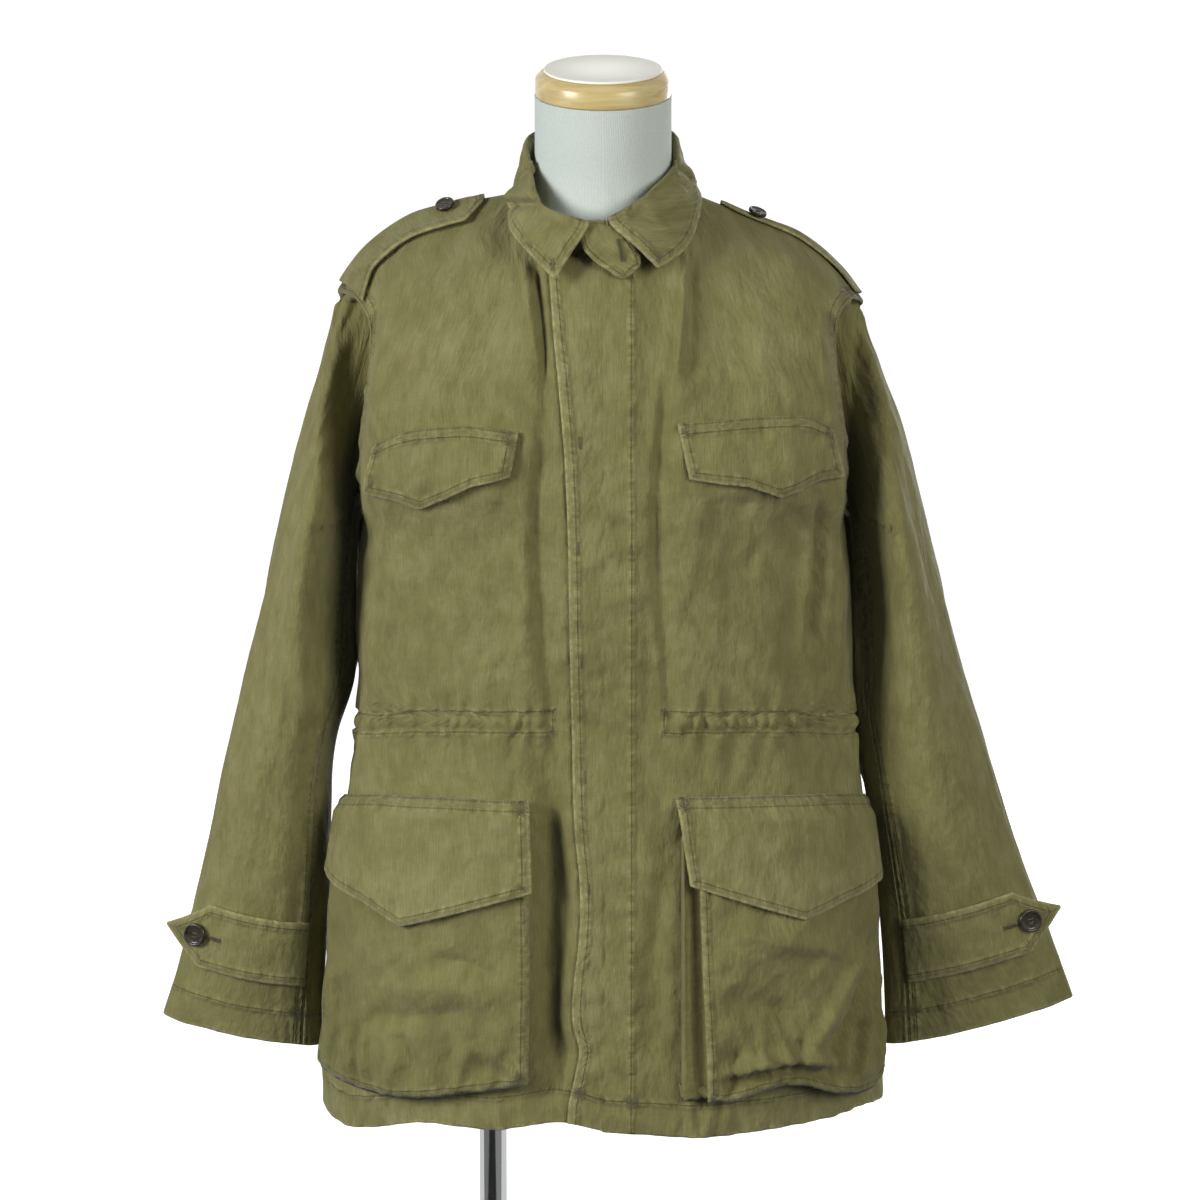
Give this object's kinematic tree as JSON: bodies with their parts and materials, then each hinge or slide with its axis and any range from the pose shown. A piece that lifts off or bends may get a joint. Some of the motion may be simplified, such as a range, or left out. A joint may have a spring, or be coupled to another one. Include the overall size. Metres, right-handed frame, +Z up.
{
  "type": "field jacket on dress form",
  "caption": "Olive cotton field jacket with flapped bellows pockets, shoulder straps and cuff tabs, on a limbless dress form with a chromed pole and a round base.",
  "frame": {"origin": "middle of the base plate's underside, on the floor", "axes": "+Z up, -Y the way the jacket's front faces, +X towards the jacket's left side"},
  "size_m": [0.7936, 0.38, 1.1937],
  "materials": {
    "olive_cotton": "washed cotton sateen, worn pale along its edges",
    "brown_horn": "dark brown, polished rim",
    "knit_cover": "pale grey fine knit, stretched smooth",
    "turned_wood": "turned and satin lacquered",
    "cream_disc": "cream, satin",
    "chrome": "polished",
    "black_base": "black satin enamel"
  },
  "bodies": {
    "root": {"back": "olive_cotton", "front_left": "olive_cotton", "front_right": "olive_cotton", "sleeve_upper_left": "olive_cotton", "sleeve_upper_right": "olive_cotton", "sleeve_under_left": "olive_cotton", "sleeve_under_right": "olive_cotton", "collar": "olive_cotton", "throat_tab": "olive_cotton", "shoulder_strap_left": "olive_cotton", "shoulder_strap_right": "olive_cotton", "chest_flap_left": "olive_cotton", "chest_flap_right": "olive_cotton", "lower_pocket_left": "olive_cotton", "lower_pocket_right": "olive_cotton", "lower_flap_left": "olive_cotton", "lower_flap_right": "olive_cotton", "cuff_tab_left": "olive_cotton", "cuff_tab_right": "olive_cotton", "strap_button_left": "brown_horn", "strap_button_right": "brown_horn", "cuff_button_left": "brown_horn", "cuff_button_right": "brown_horn", "form_body": "knit_cover", "neck_cap": "turned_wood", "neck_cap_disc": "cream_disc", "pole": "chrome", "pole_flange": "chrome", "base_plate": "black_base"}
  },
  "joints": []
}
